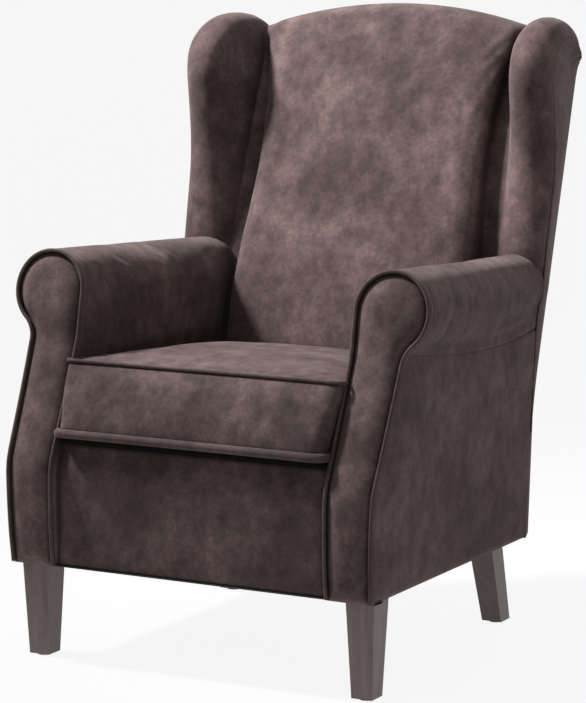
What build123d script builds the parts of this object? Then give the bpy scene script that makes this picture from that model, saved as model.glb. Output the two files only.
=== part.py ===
from build123d import *
import os
from functools import cache
from math import radians, sqrt, tan

os.makedirs("parts", exist_ok=True)

# Wing chair with a loose seat cushion, in millimetres.
# x runs to the right, y from the front to the rear and z up from the floor.
# All is drawn with y = 0 at the foremost point, and moved to the middle when it is written.

# Overall proportions
overall_height = 1060.0
leg_height = 162.0
base_half_width = 332.0
base_depth = 595.0
arm_width = 83.0
outside_lean = 0.031

# Arms
arm_roll_radius = 66.0
arm_roll_height = 603.0
arm_taper = 0.027
arm_slope = 0.05
arm_setback = 115.0
knee_height = 325.0
knee_radius = 220.0
neck_height = 530.0
neck_setback = 89.0
neck_radius = 350.0
neck_fillet = 45.0
facing_thickness = 16.0
facing_recess = 2.0
facing_welt = 8.0
welt_depth = 10.0
arm_post_cover = 13.0
arm_post_depth = 60.0
arm_pad_thickness = 26.0
arm_pad_bottom = 306.0
arm_underside_drop = 62.0
arm_rail_width = 55.0
arm_lip = 10.0
arm_rail_thickness = 28.0
arm_lining_thickness = 3.0
tack_rail_width = 22.0
tack_rail_height = 45.0
panel_thickness = 6.0

# Back and wings
recline_slope = tan(radians(17.4))
elbow_height = 330.0
elbow_radius = 300.0
elbow_clear = 4.0
back_post_width = 40.0
back_post_depth = 55.0
back_post_drop = 85.0
webbing_thickness = 2.0
webbing_width = 46.0
crest_drop = 66.0
crest_inset = 4.0
crest_corner_radius = 36.0
crest_pad_height = 16.0
crest_rail_thickness = 32.0
crest_rail_depth = 95.0
back_rail_height = 40.0
back_rail_rise = 43.0
back_pad_waist_inset = 16.0
back_pad_top_inset = 3.0
back_pad_edge = 12.0
wing_board_thickness = 20.0
wing_board_setback = 30.0
wing_board_drop = 52.0
wing_board_corner = 70.0
wing_front = 592.0
wing_inset = 17.0
wing_peak_drop = 19.0
wing_half_thickness = 40.0
wing_root = 18.0
wing_panel_low = 36.0
wing_panel_high = 8.0
wing_panel_tuck = 14.0

# Seat
seat_height = 376.0
seat_slope = 0.07
deck_thickness = 20.0
rail_thickness = 28.0
rail_height = 84.0
side_rail_thickness = 28.0
border_setback = 20.0
border_thickness = 14.0
border_height = 194.0
border_nose = 10.0
spring_rail_space = 16.0
spring_wire_radius = 1.9
spring_count = 5
spring_pitch = 92.0
spring_half_width = 24.0
spring_step = 22.0
clip_length = 24.0
clip_width = 14.0
clip_height = 7.0
dust_cover_thickness = 1.2

# Seat cushion, measured in the plane of the deck
cushion_front_low = 12.0
cushion_front_high = 50.0
cushion_rear_low = 480.0
cushion_rear_high = 503.0
cushion_height = 124.0
cushion_crown = 14.0
cushion_pull = 4.0
cushion_cover_thickness = 2.5
cushion_welt = 8.0
cushion_side_gap = 2.0

# Legs and their fittings
front_leg_inset = 32.0
front_leg_y = 57.0
front_leg_top = 50.0
front_leg_foot = 36.0
rear_leg_inset = 70.0
rear_leg_y = 570.0
rear_leg_top = 44.0
rear_leg_foot = 36.0
rear_leg_rake = 52.0
glide_radius = 12.0
glide_thickness = 3.0
bolt_radius = 4.0
bolt_in_leg = 35.0
bolt_in_frame = 22.0
insert_radius = 6.5
screw_radius = 2.4
screw_length = 36.0
screw_head_radius = 4.8
screw_head_height = 3.0
block_leg = 58.0
block_height = 40.0
screw_share = 0.25

# Clearances
fit_gap = 0.3
hole_gap = 0.15
reach = 1200.0


def rear_y(height):
    """Rear face of the chair at a height, on the straight reclined part above the elbow."""
    return base_depth + (height - elbow_height) * recline_slope


def seat_z(y, drop=0.0):
    """Height of the sloping cushion seat at y, less a drop."""
    return seat_height - seat_slope * y - drop


def front_edge(offset, low, high):
    """Swept front of the arms in side view, moved back by an offset."""
    top_slope = (arm_setback - neck_setback) / (arm_top - neck_height)
    top_y = neck_setback + (high - neck_height) * top_slope
    points = [
        (offset, low),
        (offset, knee_height),
        (offset + neck_setback, neck_height),
        (offset + top_y, high),
    ]
    return FilletPolyline(*points, radius=(knee_radius, neck_radius))


def rear_edge(offset, low, high):
    """Rear of the chair in side view, upright below the elbow and reclined above it."""
    points = [
        (base_depth + offset, low),
        (base_depth + offset, elbow_height),
        (rear_y(high) + offset, high),
    ]
    return FilletPolyline(*points, radius=elbow_radius)


def side_slab(edge, near, far, low, high, inner, outer):
    """Solid between two offsets of a side-view line, from one x to another."""
    front = edge(near, low, high)
    rear = edge(far, low, high)
    sides = [Line(front @ 0, rear @ 0), Line(front @ 1, rear @ 1)]
    face = make_face([*front.edges(), *rear.edges(), *sides])
    return extrude(Plane.YZ.offset(inner) * face, outer - inner)


def side_plate(points, inner, outer):
    """Solid with a straight-sided outline in side view, from one x to another."""
    face = make_face(Polyline(*points, close=True))
    return extrude(Plane.YZ.offset(inner) * face, outer - inner)


def block(low, high):
    """Box between two corners."""
    size = [b - a for a, b in zip(low, high)]
    middle = [(a + b) / 2 for a, b in zip(low, high)]
    return Pos(*middle) * Box(*size)


def front_prism(face):
    """Front-view outline carried through the whole depth of the chair."""
    return extrude(Plane.XZ * face, reach, both=True)


def along_arm(face):
    """Front-view section carried back along the falling arm."""
    start = Plane((0, 0, arm_slope * arm_setback), x_dir=(1, 0, 0), z_dir=(0, -1, 0))
    placed = start * face
    return Part() + [Solid.extrude(f, Vector(0, reach, -arm_slope * reach)) for f in placed.faces()]


def section_box(inner, outer, low, high):
    """Rectangle in front view between two x and two heights."""
    return Pos((inner + outer) / 2, (low + high) / 2) * Rectangle(outer - inner, high - low)


def mirrored(part):
    """The same piece on the other side of the chair."""
    return mirror(part, about=Plane.YZ)


# Sizes that follow from the ones above
seat_half_width = base_half_width - arm_width
arm_post_inner = seat_half_width + arm_post_cover
arm_top = arm_roll_height + arm_roll_radius
roll_middle = seat_half_width + arm_roll_radius
arm_underside = arm_roll_height - arm_underside_drop
arm_pad_outer = seat_half_width + arm_pad_thickness
arm_rail_outer = arm_pad_outer + arm_rail_width
frame_half_width = base_half_width - panel_thickness
back_post_inner = frame_half_width - back_post_width
back_post_top = overall_height - back_post_drop
back_pad_waist = seat_half_width - back_pad_waist_inset
crest_half_width = base_half_width - crest_inset
wing_middle = base_half_width - wing_inset
front_leg_x = base_half_width - front_leg_inset
rear_leg_x = base_half_width - rear_leg_inset
block_low = leg_height + rail_height - block_height
post_front = -panel_thickness - back_post_depth
pad_rear = post_front - 2 * webbing_thickness - fit_gap
rail_front = border_setback + border_thickness
spring_drop = deck_thickness + fit_gap + spring_wire_radius
spring_rail_drop = spring_drop + spring_wire_radius + hole_gap
rear_post_y = base_depth + post_front
rear_spring_y = rear_post_y + elbow_clear
spring_length = rear_spring_y - rail_front
overall_depth = rear_y(overall_height - crest_pad_height)


def lean_x(height):
    """Outer face of the leaning outside arm at a height."""
    return base_half_width + outside_lean * (height - leg_height)


def neck_points(radius, height):
    """Ends and middle of the hollow between an arm roll and the outside arm."""
    roll = Vector(seat_half_width + radius, height)
    foot = Vector(base_half_width, leg_height)
    stretch = sqrt(1 + outside_lean**2)
    span = radius + neck_fillet
    run = foot.X - outside_lean * foot.Y + neck_fillet * stretch - roll.X
    half = run * outside_lean - roll.Y
    rest = run**2 + roll.Y**2 - span**2
    level = (-half - sqrt(half**2 - stretch**2 * rest)) / stretch**2
    centre = Vector(run + outside_lean * level + roll.X, level)
    on_side = centre - Vector(1, -outside_lean).normalized() * neck_fillet
    on_roll = roll + (centre - roll).normalized() * radius
    middle = centre + ((on_side + on_roll) / 2 - centre).normalized() * neck_fillet
    return on_roll, middle, on_side


def scroll_face():
    """Front view of the right arm: pilaster, neck and roll."""
    on_roll, middle, on_side = neck_points(arm_roll_radius, arm_roll_height)
    inner_foot = (seat_half_width, leg_height)
    roll_start = (seat_half_width, arm_roll_height)
    outer_foot = (base_half_width, leg_height)
    edges = [
        Line(inner_foot, roll_start),
        ThreePointArc(roll_start, (roll_middle, arm_top), on_roll),
        ThreePointArc(on_roll, middle, on_side),
        Line(on_side, outer_foot),
        Line(outer_foot, inner_foot),
    ]
    return make_face(edges)


def ahead_of_arm(offset):
    """Everything in front of the swept arm front, moved back by an offset."""
    return side_slab(front_edge, -2 * reach, offset, 0, overall_height, 0, reach)


def behind_post():
    """Everything behind the front of the back posts."""
    return side_slab(rear_edge, post_front, reach, 0, reach, -reach, reach)


def behind_pads():
    """Everything behind the front of the webbing, where the soft pieces end."""
    return side_slab(rear_edge, pad_rear, reach, 0, reach, -reach, reach)


def under_seat():
    """Everything below the plane that the cushion lies on."""
    points = [(-reach, seat_z(-reach)), (reach, seat_z(reach)), (reach, -reach), (-reach, -reach)]
    return side_plate(points, -reach, reach)


def arm_facing():
    panel = offset(scroll_face(), amount=-facing_welt, kind=Kind.INTERSECTION)
    layer = side_slab(front_edge, facing_recess, facing_thickness, 0, reach, 0, reach)
    return front_prism(panel) & layer


def facing_welt_strip():
    inside = offset(scroll_face(), amount=fit_gap - facing_welt, kind=Kind.INTERSECTION)
    layer = side_slab(front_edge, 0, welt_depth, 0, reach, 0, reach)
    return front_prism(scroll_face() - inside) & layer


@cache
def arm_post():
    rear = facing_thickness + arm_post_depth
    post = side_slab(
        front_edge, facing_thickness, rear, leg_height, arm_top, arm_post_inner, frame_half_width
    )
    above = along_arm(section_box(0, reach, arm_underside, reach))
    return post - above - leg_insert_hole(front_leg_x, front_leg_y)


def between_posts(part):
    """Cut a piece to run from the arm post to the back post."""
    return part - ahead_of_arm(facing_thickness + arm_post_depth) - behind_post()


@cache
def arm_rail():
    top = arm_underside + arm_rail_thickness
    rail = along_arm(section_box(arm_pad_outer, arm_rail_outer, arm_underside, top))
    return rail - ahead_of_arm(facing_thickness) - behind_post()


def arm_lining():
    outer = arm_pad_outer + arm_lining_thickness
    board = along_arm(section_box(arm_pad_outer, outer, arm_pad_bottom, arm_underside))
    return between_posts(board) - behind_pads()


def arm_tack_rail():
    inner = arm_pad_outer + arm_lining_thickness
    top = arm_pad_bottom + tack_rail_height
    rail = along_arm(section_box(inner, inner + tack_rail_width, arm_pad_bottom, top))
    return between_posts(rail)


def arm_pad_section(y):
    """Inside arm and roll at a distance from the front; the roll tapers towards the rear."""
    fall = arm_slope * (y - arm_setback)
    radius = arm_roll_radius - arm_taper * (y - arm_setback)
    middle = Vector(seat_half_width + radius, arm_top - fall - radius)
    top = middle + Vector(0, radius)
    inner = middle - Vector(radius, 0)
    on_roll = neck_points(radius, middle.Y)[0]
    inner_bow = middle + Vector(-radius, radius) / sqrt(2)
    outer_bow = middle + ((top + on_roll) / 2 - middle).normalized() * radius
    low = arm_pad_bottom - fall
    under = arm_underside - fall
    corners = [
        on_roll,
        (arm_rail_outer + arm_lip, under),
        (arm_pad_outer, under),
        (arm_pad_outer, low),
        (seat_half_width, low),
        inner,
    ]
    roll = [ThreePointArc(inner, inner_bow, top), ThreePointArc(top, outer_bow, on_roll)]
    return Plane.XZ.offset(-y) * make_face([*roll, *Polyline(*corners).edges()])


@cache
def arm_pad():
    """Inside arm and roll, open below where the arm rail lies."""
    pad = loft([arm_pad_section(0), arm_pad_section(rear_y(arm_top))], ruled=True)
    pad = pad - ahead_of_arm(facing_thickness) - behind_pads()
    return pad - arm_post() - arm_rail() - wing_board() - front_spring_rail() - front_seat_rail()


@cache
def outside_arm():
    """Leaning panel from the base to the under side of the roll."""
    lean_top = lean_x(arm_underside)
    points = [
        (base_half_width, leg_height),
        (lean_top, arm_underside),
        (lean_top - panel_thickness, arm_underside),
        (frame_half_width, leg_height),
    ]
    panel = front_prism(make_face(Polyline(*points, close=True)))
    above = along_arm(section_box(0, reach, arm_underside, reach))
    rear = side_slab(rear_edge, -panel_thickness, reach, 0, reach, 0, reach)
    seam = side_plate(wing_seam(), 0, reach)
    return panel - ahead_of_arm(facing_thickness) - above - rear - seam


def wing_seam():
    """Side view of everything behind the line where arm and outside wing meet."""
    low = (rear_y(elbow_height), elbow_height)
    high = (rear_y(arm_underside) + post_front, arm_underside)
    return [low, high, (high[0], reach), (reach, reach), (reach, elbow_height)]


@cache
def back_post():
    rear = -panel_thickness
    return side_slab(
        rear_edge, post_front, rear, leg_height, back_post_top, back_post_inner, frame_half_width
    )


def crest_face(lower):
    """Front view of the arched back, taken in by an amount at its top."""
    shoulder = overall_height - crest_drop - lower
    half = crest_half_width
    edges = [
        Polyline((-half, leg_height), (-half, shoulder)),
        ThreePointArc((-half, shoulder), (0, overall_height - lower), (half, shoulder)),
        Polyline((half, shoulder), (half, leg_height)),
        Polyline((half, leg_height), (-half, leg_height)),
    ]
    return make_face([e for part in edges for e in part.edges()])


@cache
def outside_back():
    """Rear panel, bent at the elbow, with an arched top and rounded shoulders."""
    top = crest_face(crest_pad_height)
    shoulders = top.vertices().sort_by(Axis.Y)[-2:]
    low_half = section_box(-base_half_width, base_half_width, leg_height, overall_height / 2)
    outline = fillet(shoulders, crest_corner_radius) + low_half
    sheet = side_slab(rear_edge, -panel_thickness, 0, 0, reach, -reach, reach)
    return front_prism(outline) & sheet


@cache
def crest_rail():
    far = post_front + crest_rail_thickness
    board = side_slab(rear_edge, post_front, far, 0, reach, -back_post_inner, back_post_inner)
    arch = crest_face(2 * crest_pad_height)
    low = overall_height - 2 * crest_pad_height - crest_rail_depth
    under = section_box(-reach, reach, 0, low)
    return board & front_prism(arch - under)


def back_lower_rail():
    board = side_slab(
        rear_edge, post_front, post_front + rail_thickness, 0, reach, -back_post_inner, back_post_inner
    )
    low = back_rail_low()
    return board & front_prism(section_box(-reach, reach, low, low + back_rail_height))


def back_rail_low():
    """Under side of the lower back rail, above the rear of the seat."""
    return seat_z(base_depth) + back_rail_rise


def back_pad_section(height, swell, half):
    """Plan of the inside back at a height: flat rear, crowned front."""
    rear = rear_y(height) + pad_rear
    front = rear - swell
    edge = rear - back_pad_edge
    plan = [
        Line((-half, rear), (half, rear)),
        Line((half, rear), (half, edge)),
        ThreePointArc((half, edge), (0, front), (-half, edge)),
        Line((-half, edge), (-half, rear)),
    ]
    return Pos(0, 0, height) * make_face(plan)


@cache
def back_pad():
    """Inside back with a swell at the small of the back, and the padding over the crest."""
    wide = seat_half_width - fit_gap
    crest = seat_half_width - back_pad_top_inset
    low = seat_z(base_depth) - deck_thickness
    rise = overall_height - low
    swells = [
        (0.0, 40, wide),
        (0.2, 51, wide),
        (0.38, 59, wide),
        (0.58, 54, back_pad_waist),
        (0.78, 45, back_pad_waist),
        (0.92, 32, crest),
        (1.02, 16, crest),
    ]
    swell = loft([back_pad_section(low + share * rise, swell, half) for share, swell, half in swells])
    swell = swell & front_prism(crest_face(0))
    cap = side_slab(rear_edge, pad_rear, -panel_thickness, 0, reach, -reach, reach)
    cap = cap & front_prism(crest_face(crest_pad_height / 2) - crest_face(2 * crest_pad_height))
    cap = cap & block((-reach, 0, back_post_top + fit_gap), (reach, reach, reach))
    whole = swell + cap - crest_rail() - outside_back() - under_seat()
    for neighbour in (arm_pad(), wing_board(), outside_wing()):
        whole = whole - neighbour - mirrored(neighbour)
    return whole


@cache
def wing_board():
    """Board that carries the wing, standing on the arm rail in front of the back post."""
    inner = frame_half_width - wing_board_thickness
    foot = arm_underside + arm_rail_thickness
    front = wing_front + wing_board_setback
    top = overall_height - wing_board_drop
    corner = (front, top)
    points = [(front, 0), corner, (reach, top), (reach, 0)]
    outline = make_face(Polyline(*points, close=True))
    nose = outline.vertices().sort_by_distance(Vector(*corner))[0]
    outline = fillet(nose, wing_board_corner)
    board = extrude(Plane.YZ.offset(inner) * outline, wing_board_thickness)
    below = along_arm(section_box(0, reach, -reach, foot))
    return board - below - behind_post()


def wing_section(height, front, slim, seam):
    """Plan of the right wing at a height: rounded front, sides running back to the post."""
    radius = wing_half_thickness - slim
    inner = wing_middle - radius
    outer = wing_middle + radius
    nose = front + radius
    rear = max(rear_y(height) + post_front, nose + wing_root)
    slant = radius / sqrt(2)
    plan = [
        ThreePointArc((outer, nose), (wing_middle + slant, nose - slant), (wing_middle, front)),
        ThreePointArc((wing_middle, front), (wing_middle - slant, nose - slant), (inner, nose)),
        Line((inner, nose), (seam, rear)),
        Line((seam, rear), (base_half_width, rear)),
        Line((base_half_width, rear), (outer, nose)),
    ]
    return Pos(0, 0, height) * make_face(plan)


def wing_pad():
    """Inside wing and its rounded front edge, over the wing board and down to the arm."""
    seam = back_pad_waist - fit_gap
    foot = arm_underside
    rise = overall_height - wing_peak_drop - foot
    stations = [
        (0.0, -7, 0, 0),
        (0.2, -2, 0, 0),
        (0.52, 12, 0, 0),
        (0.8, 0, 0, 0),
        (0.9, 14, 4, 0),
        (0.96, 44, 10, 12),
        (1.0, 98, 23, 40),
    ]
    plans = []
    for share, setback, slim, shift in stations:
        plans.append(wing_section(foot + share * rise, wing_front + setback, slim, seam + shift))
    pad = loft(plans)
    pad = pad - behind_pads() - arm_pad() - arm_rail() - wing_board() - outside_wing()
    return largest(pad - back_pad() - outside_back() - crest_rail() - arm_post())


def largest(part):
    """The biggest solid of a piece, without crumbs left by cutting."""
    return Part() + part.solids().sort_by(SortBy.VOLUME)[-1]


def outside_wing_section(height, front, outer):
    rear = rear_y(height) - panel_thickness
    points = [
        (outer, front),
        (base_half_width, rear),
        (frame_half_width, rear),
        (outer - panel_thickness, front),
    ]
    return Pos(0, 0, height) * make_face(Polyline(*points, close=True))


@cache
def outside_wing():
    """Panel on the outer side, from the wing front to the rear corner."""
    outer = wing_middle + wing_half_thickness
    foot = rear_y(arm_underside) + post_front
    low = (elbow_height + arm_underside) / 2 - wing_panel_low
    high = back_post_top + wing_panel_high
    waist = (arm_top + high) / 2
    stations = [
        (low, foot - wing_panel_tuck, lean_x(low)),
        (arm_underside, foot - wing_panel_tuck, lean_x(arm_underside)),
        (arm_top, foot + wing_panel_tuck, outer),
        (waist, wing_front + wing_half_thickness, outer),
        (high, wing_front + wing_half_thickness + wing_panel_tuck, outer),
    ]
    panel = loft([outside_wing_section(*station) for station in stations], ruled=True)
    return panel - back_post() - wing_board() - arm_rail() - arm_pad() - outside_arm()


@cache
def front_seat_rail():
    low = (-arm_post_inner, rail_front, leg_height)
    high = (arm_post_inner, rail_front + rail_thickness, leg_height + rail_height)
    return block(low, high) - corner_screws(hole_gap)


@cache
def front_spring_rail():
    rear = rail_front + rail_thickness
    return spring_rail(rail_front, rear, arm_post_inner)


def rear_spring_rail():
    return spring_rail(rear_spring_y, rear_spring_y + rail_thickness, back_post_inner)


def spring_rail(front, rear, half):
    """Rail under the spring ends, its top in the slope of the seat."""
    low = leg_height + rail_height + spring_rail_space
    points = [
        (front, low),
        (rear, low),
        (rear, seat_z(rear, spring_rail_drop)),
        (front, seat_z(front, spring_rail_drop)),
    ]
    return side_plate(points, -half, half)


def rear_seat_rail():
    rear = base_depth - panel_thickness
    low = (-back_post_inner, rear - rail_thickness, leg_height)
    high = (back_post_inner, rear, leg_height + rail_height)
    rail = block(low, high) - corner_screws(hole_gap)
    for side in (-1, 1):
        rail = rail - leg_insert_hole(side * rear_leg_x, rear_leg_y)
    return rail


def side_seat_rail():
    front = facing_thickness + arm_post_depth
    low = (frame_half_width - side_rail_thickness, front, leg_height)
    high = (frame_half_width, rear_post_y, leg_height + rail_height)
    return block(low, high) - corner_screws(hole_gap)


def corner_block(front):
    """Three-cornered block in a corner of the seat frame, on the right side."""
    side = frame_half_width - side_rail_thickness
    if front:
        corner = rail_front + rail_thickness
        away = corner + block_leg
    else:
        corner = base_depth - panel_thickness - rail_thickness
        away = corner - block_leg
    points = [(side, corner), (side - block_leg, corner), (side, away)]
    face = make_face(Polyline(*points, close=True))
    return extrude(Pos(0, 0, block_low) * face, block_height)


def corner_blocks():
    blocks = [corner_block(True), corner_block(False)]
    blocks = [b - arm_post() - back_post() - corner_screws(hole_gap) for b in blocks]
    return blocks + [mirrored(b) for b in blocks]


def corner_screw(front, grow):
    """Screw through the long side of a corner block into the front or rear rail."""
    side = frame_half_width - side_rail_thickness
    x = side - (1 - screw_share) * block_leg
    z = block_low + block_height / 2
    if front:
        head_y = rail_front + rail_thickness + screw_share * block_leg
        turn = Rot(90, 0, 0)
    else:
        head_y = base_depth - panel_thickness - rail_thickness - screw_share * block_leg
        turn = Rot(-90, 0, 0)
    shank = Pos(0, 0, screw_length / 2) * Cylinder(screw_radius + grow, screw_length + 2 * grow)
    head_size = screw_head_height + 2 * grow
    head = Pos(0, 0, -screw_head_height / 2) * Cylinder(screw_head_radius + grow, head_size)
    well = Part()
    if grow:
        well = Pos(0, 0, -block_leg / 2) * Cylinder(screw_head_radius + grow, block_leg)
    return Pos(x, head_y, z) * turn * (shank + head + well)


def corner_screws(grow=0.0):
    screws = [corner_screw(True, grow), corner_screw(False, grow)]
    return Part() + screws + [mirrored(s) for s in screws]


def front_border():
    """Padded panel between the facings, under the overhanging cushion."""
    half = seat_half_width - fit_gap
    low = (-half, border_setback, leg_height)
    high = (half, rail_front, leg_height + border_height)
    panel = block(low, high)
    nose = panel.edges().filter_by(Axis.X).group_by(Axis.Z)[-1].sort_by(Axis.Y)[0]
    return fillet(nose, border_nose)


@cache
def seat_deck():
    """Padded platform on the springs."""
    front = rail_front + fit_gap
    rear = rear_post_y - fit_gap
    points = [
        (front, seat_z(front, deck_thickness)),
        (rear, seat_z(rear, deck_thickness)),
        (rear, seat_z(rear)),
        (front, seat_z(front)),
    ]
    half = seat_half_width - fit_gap
    deck = side_plate(points, -half, half)
    return deck - [place * clip_body(2 * fit_gap) for place in clip_places()]


def spring_path():
    """Zigzag of one sinuous spring, flat, starting at its front bar."""
    count = int(spring_length / spring_step) // 2 * 2
    bend = spring_length / count / 2
    side = spring_half_width - bend
    edges = []
    for i in range(count + 1):
        y = i * 2 * bend
        turn = 1 if i % 2 else -1
        edges.append(Line((turn * side, y), (-turn * side, y)))
        if i < count:
            tip = (-turn * (side + bend), y + bend)
            edges.append(ThreePointArc((-turn * side, y), tip, (-turn * side, y + 2 * bend)))
    return Wire(edges)


def spring_plane(x):
    """Plane of a spring, in the slope of the seat, its origin on the front bar."""
    y = rail_front + rail_thickness / 2
    return Plane((x, y, seat_z(y, spring_drop)), x_dir=(1, 0, 0), z_dir=(0, seat_slope, 1))


def spring_places():
    return [(i - (spring_count - 1) / 2) * spring_pitch for i in range(spring_count)]


def seat_springs():
    path = spring_path()
    ring = Plane(path @ 0, z_dir=path % 0) * Circle(spring_wire_radius)
    spring = sweep(ring, path=path)
    return [spring_plane(x).location * spring for x in spring_places()]


def spring_clips():
    """Clips that hold each spring bar down on its rail."""
    bore = Rot(0, 90, 0) * Cylinder(spring_wire_radius + hole_gap, 2 * clip_length)
    clip = clip_body(0.0) - bore
    return [place * clip for place in clip_places()]


def clip_body(grow):
    rise = clip_height / 2 - spring_wire_radius
    return Pos(0, 0, rise) * Box(clip_length + grow, clip_width + grow, clip_height + grow)


def clip_places():
    ends = (0, spring_length)
    return [spring_plane(x).location * Pos(0, y, 0) for x in spring_places() for y in ends]


def back_webbing():
    """Upright straps against the rails, level straps across them in front."""
    low = back_rail_low()
    high = overall_height - 2 * crest_pad_height - crest_rail_depth / 2
    middle = post_front - webbing_thickness
    front = middle - webbing_thickness
    upright = side_slab(rear_edge, middle, post_front, 0, reach, -reach, reach)
    level = side_slab(rear_edge, front, middle, 0, reach, -reach, reach)
    half = frame_half_width - wing_board_thickness - fit_gap
    strap = webbing_width / 2
    straps = []
    for share in (-0.4, 0, 0.4):
        x = share * half
        straps.append(upright & front_prism(section_box(x - strap, x + strap, low, high)))
    for share in (0.15, 0.42, 0.68, 0.88):
        z = low + share * (high - low)
        straps.append(level & front_prism(section_box(-half, half, z - strap, z + strap)))
    return straps


def dust_cover():
    low = (-frame_half_width, facing_thickness, leg_height - dust_cover_thickness)
    high = (frame_half_width, base_depth - panel_thickness, leg_height)
    sheet = block(low, high)
    for x, y, rake in leg_places():
        hole = (rear_leg_top if rake else front_leg_top) + 2 * fit_gap
        sheet = sheet - Pos(x, y, leg_height) * Box(hole, hole, 4 * dust_cover_thickness)
    return sheet


def leg(x, y, top, foot, rake):
    """Square tapered leg on a glide, with a bore for its bolt."""
    head = Pos(x, y, leg_height) * Rectangle(top, top)
    toe = Pos(x, y + rake, glide_thickness) * Rectangle(foot, foot)
    shaft = loft([toe, head], ruled=True)
    deep = bolt_in_leg + hole_gap
    bore = Pos(x, y, leg_height - deep / 2) * Cylinder(bolt_radius + hole_gap, deep)
    return shaft - bore


def leg_places():
    """Where the four legs stand: x, y of the bolt and the rake of the foot."""
    places = []
    for side in (-1, 1):
        places.append((side * front_leg_x, front_leg_y, 0.0))
        places.append((side * rear_leg_x, rear_leg_y, rear_leg_rake))
    return places


def leg_insert_hole(x, y):
    deep = bolt_in_frame + hole_gap
    return Pos(x, y, leg_height + deep / 2) * Cylinder(insert_radius + hole_gap, deep)


def leg_bolts():
    length = bolt_in_leg + bolt_in_frame
    rise = leg_height + (bolt_in_frame - bolt_in_leg) / 2
    return [Pos(x, y, rise) * Cylinder(bolt_radius, length) for x, y, _ in leg_places()]


def leg_inserts():
    """Threaded sleeves in the frame that take the leg bolts."""
    sleeve = Cylinder(insert_radius, bolt_in_frame) - Cylinder(bolt_radius + hole_gap, bolt_in_frame)
    return [Pos(x, y, leg_height + bolt_in_frame / 2) * sleeve for x, y, _ in leg_places()]


def leg_glides():
    disc = Cylinder(glide_radius, glide_thickness)
    return [Pos(x, y + rake, glide_thickness / 2) * disc for x, y, rake in leg_places()]


def cushion_section(level, shrink):
    """Outline of the cushion at a level above the deck; shrink below zero makes it larger."""
    share = level / cushion_height
    front = cushion_front_low + share * (cushion_front_high - cushion_front_low) + shrink
    rear = cushion_rear_low + share * (cushion_rear_high - cushion_rear_low) - shrink
    half = seat_half_width - cushion_side_gap - cushion_welt - shrink
    middle = (front + rear) / 2
    pull = cushion_pull
    outline = [
        ThreePointArc((-half, front), (0, front + pull), (half, front)),
        ThreePointArc((half, front), (half - pull, middle), (half, rear)),
        ThreePointArc((half, rear), (0, rear - pull), (-half, rear)),
        ThreePointArc((-half, rear), (-half + pull, middle), (-half, front)),
    ]
    plane = Plane((0, 0, seat_height), x_dir=(1, 0, 0), z_dir=(0, seat_slope, 1))
    return plane.offset(level) * make_face(outline)


def cushion_form(shrink):
    """Box cushion with drawn-in sides and a crowned top."""
    sides = loft(
        [cushion_section(shrink, shrink), cushion_section(cushion_height, shrink)], ruled=True
    )
    crown_steps = [(0, 0), (0.45, 32), (0.8, 90), (1, 165)]
    rise = cushion_crown - shrink
    crown = loft(
        [cushion_section(cushion_height + part * rise, shrink + inset) for part, inset in crown_steps]
    )
    return sides + crown


def cushion_cover():
    return cushion_form(fit_gap) - cushion_form(cushion_cover_thickness)


def cushion_core():
    return cushion_form(cushion_cover_thickness + fit_gap)


def cushion_welt_ring(low):
    """Piping round the cushion from one level up by its own thickness."""
    high = low + cushion_welt
    outside = loft([cushion_section(z, -cushion_welt) for z in (low, high)], ruled=True)
    inside = loft([cushion_section(z, 0) for z in (low, high)], ruled=True)
    return outside - inside


def write(name, solids):
    """Move a piece to the middle of the chair's footprint and write it."""
    if not isinstance(solids, list):
        solids = [solids]
    parts = [s for part in solids for s in part.solids()]
    export_step(Pos(0, -overall_depth / 2, 0) * Compound(children=parts), f"parts/{name}.step")


def write_pair(name, right):
    write(f"right_{name}", right)
    write(f"left_{name}", mirrored(right))


write("front_seat_rail", front_seat_rail())
write("rear_seat_rail", rear_seat_rail())
write_pair("seat_rail", side_seat_rail())
write("front_spring_rail", front_spring_rail())
write("rear_spring_rail", rear_spring_rail())
write("corner_blocks", corner_blocks())
write("corner_screws", corner_screws())
write_pair("arm_post", arm_post())
write_pair("arm_rail", arm_rail())
write_pair("arm_tack_rail", arm_tack_rail())
write_pair("arm_lining", arm_lining())
write_pair("back_post", back_post())
write("crest_rail", crest_rail())
write("back_lower_rail", back_lower_rail())
write_pair("wing_board", wing_board())

write("seat_springs", seat_springs())
write("spring_clips", spring_clips())
write("seat_deck", seat_deck())
write("back_webbing", back_webbing())
write("dust_cover", dust_cover())

write("front_border", front_border())
write_pair("arm_pad", arm_pad())
write_pair("arm_facing", arm_facing())
write_pair("facing_welt", facing_welt_strip())
write_pair("outside_arm", outside_arm())
write_pair("wing_pad", wing_pad())
write_pair("outside_wing", outside_wing())
write("back_pad", back_pad())
write("outside_back", outside_back())

write("cushion_cover", cushion_cover())
write("cushion_core", cushion_core())
write("cushion_bottom_welt", cushion_welt_ring(fit_gap))
write("cushion_top_welt", cushion_welt_ring(cushion_height - cushion_welt))

write_pair("front_leg", leg(front_leg_x, front_leg_y, front_leg_top, front_leg_foot, 0.0))
write_pair("rear_leg", leg(rear_leg_x, rear_leg_y, rear_leg_top, rear_leg_foot, rear_leg_rake))
write("leg_bolts", leg_bolts())
write("leg_inserts", leg_inserts())
write("leg_glides", leg_glides())
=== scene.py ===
from math import acos, atan2, cos, hypot, pi, radians, sin, sqrt

import bmesh
import bpy
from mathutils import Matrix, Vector, noise


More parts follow.
